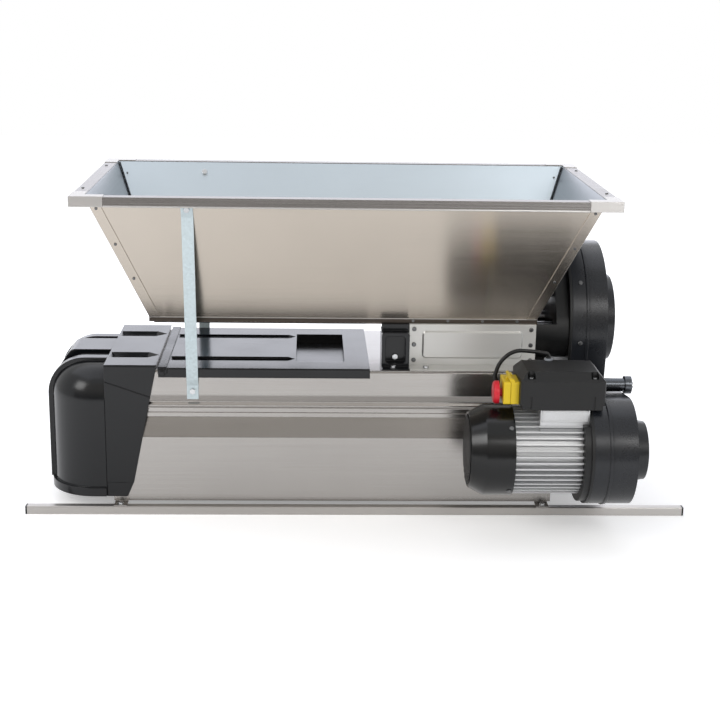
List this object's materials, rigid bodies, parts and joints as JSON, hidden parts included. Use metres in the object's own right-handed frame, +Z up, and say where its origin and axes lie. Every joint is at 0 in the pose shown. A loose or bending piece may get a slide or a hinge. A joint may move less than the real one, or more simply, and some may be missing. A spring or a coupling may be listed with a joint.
{
  "type": "fruit crusher and stalk separator",
  "caption": "Long steel hopper with a feed screw over crusher rollers and a drum with a beater, black end hood, drive guard and side motor, on floor rails.",
  "frame": {"origin": "on the floor, under the middle of the machine's outer box", "axes": "+X along the drum from the stalk outlet to the drive end, +Y from the motor's side to the far side, +Z up"},
  "size_m": [1.22, 0.6292, 0.6018],
  "materials": {
    "stainless_sheet": "brushed stainless sheet",
    "galvanised_steel": "galvanised, with spangle",
    "machined_steel": "turned and milled",
    "bearing_iron": "cast and machined",
    "bush_bronze": "turned",
    "roller_rubber": "moulded",
    "black_plastic": "moulded with a fine grain",
    "black_gloss_plastic": "moulded smooth",
    "black_painted_steel": "powder coated",
    "cast_aluminium": "die cast",
    "belt_rubber": "moulded",
    "lead_rubber": "smooth sheath",
    "yellow_plastic": "moulded smooth",
    "red_plastic": "moulded smooth",
    "green_plastic": "moulded smooth"
  },
  "bodies": {
    "machine": {"upper_side_panels": "stainless_sheet", "lower_side_skirts": "stainless_sheet", "drive_end_plate": "stainless_sheet", "deck_plate": "stainless_sheet", "basket_ledges": "stainless_sheet", "drum_basket": "stainless_sheet", "hopper_front_panel": "stainless_sheet", "hopper_rear_panel": "stainless_sheet", "hopper_left_end": "stainless_sheet", "hopper_right_end": "stainless_sheet", "hopper_rim": "stainless_sheet", "rim_corner_caps": "stainless_sheet", "hopper_neck": "stainless_sheet", "hopper_corner_strips": "stainless_sheet", "hopper_trough": "stainless_sheet", "roller_box": "stainless_sheet", "roller_box_panels": "stainless_sheet", "foot_brackets": "stainless_sheet", "front_rail": "stainless_sheet", "rear_rail": "stainless_sheet", "hopper_struts": "galvanised_steel", "hex_bolts": "galvanised_steel", "hopper_rivets": "galvanised_steel", "round_screws": "galvanised_steel", "screw_pedestal": "machined_steel", "stalk_end_bearing_bar": "machined_steel", "drum_bearings": "bearing_iron", "roller_bushes": "bush_bronze", "end_frame": "black_plastic", "stalk_hood": "black_plastic", "rail_end_plugs": "black_plastic", "gear_cover": "black_plastic", "guard_inner_half": "black_plastic", "guard_outer_half": "black_plastic", "adjuster_bracket": "black_plastic", "terminal_box": "black_plastic", "terminal_lid": "black_plastic", "fan_cowl": "black_gloss_plastic", "transmission_plate": "black_painted_steel", "spacers_and_tie_rod": "black_painted_steel", "motor_housing": "cast_aluminium", "drive_belt": "belt_rubber", "switch_lead": "lead_rubber", "switch_base": "yellow_plastic"},
    "beater": {"beater_shaft": "machined_steel", "beater_arms": "machined_steel", "beater_pinion_and_pulley": "machined_steel"},
    "motor_rotor": {"motor_rotor": "machined_steel"},
    "drive_roller": {"drive_roller": "roller_rubber", "drive_roller_shaft": "machined_steel", "drive_shaft_gears": "machined_steel"},
    "idle_roller": {"idle_roller": "roller_rubber", "idle_shaft_and_gear": "machined_steel"},
    "feed_screw": {"feed_screw": "machined_steel", "screw_gear": "machined_steel"},
    "drum_lid": {"drum_lid": "black_plastic", "lid_strap": "black_plastic"},
    "switch_lid": {"switch_lid": "yellow_plastic"},
    "stop_button": {"stop_button": "red_plastic"},
    "start_button": {"start_button": "green_plastic"}
  },
  "joints": [
    {"name": "beater_spin", "type": "hinge", "parent": "machine", "child": "beater", "pos_m": [0, 0.0604, 0.14], "axis": [1, 0, 0], "continuous": true},
    {"name": "motor_spin", "type": "hinge", "parent": "machine", "child": "motor_rotor", "pos_m": [0, -0.2196, 0.166], "axis": [1, 0, 0], "continuous": true},
    {"name": "drive_roller_spin", "type": "hinge", "parent": "machine", "child": "drive_roller", "pos_m": [0, 0.1044, 0.33], "axis": [1, 0, 0], "continuous": true},
    {"name": "idle_roller_spin", "type": "hinge", "parent": "machine", "child": "idle_roller", "pos_m": [0, 0.0164, 0.33], "axis": [1, 0, 0], "continuous": true},
    {"name": "feed_screw_spin", "type": "hinge", "parent": "machine", "child": "feed_screw", "pos_m": [0, 0.0604, 0.39], "axis": [1, 0, 0], "continuous": true},
    {"name": "drum_lid_lift", "type": "slide", "parent": "machine", "child": "drum_lid", "axis": [0, 0, 1], "range_m": [0, 0.04]},
    {"name": "switch_lid_hinge", "type": "hinge", "parent": "machine", "child": "switch_lid", "pos_m": [0.25475, -0.2296, 0.3028], "axis": [0, 1, 0], "range_deg": [0, 110]},
    {"name": "stop_button_press", "type": "slide", "parent": "switch_lid", "child": "stop_button", "axis": [1, 0, 0], "range_m": [0, 0.005], "stiffness_N_per_m": 400},
    {"name": "start_button_press", "type": "slide", "parent": "machine", "child": "start_button", "axis": [1, 0, 0], "range_m": [0, 0.003], "stiffness_N_per_m": 400}
  ],
  "couplings": [
    {"joint": "motor_spin", "follows": "beater_spin", "ratio": 2.3115},
    {"joint": "drive_roller_spin", "follows": "beater_spin", "ratio": -0.425},
    {"joint": "idle_roller_spin", "follows": "beater_spin", "ratio": 0.425},
    {"joint": "feed_screw_spin", "follows": "beater_spin", "ratio": 0.2125}
  ]
}
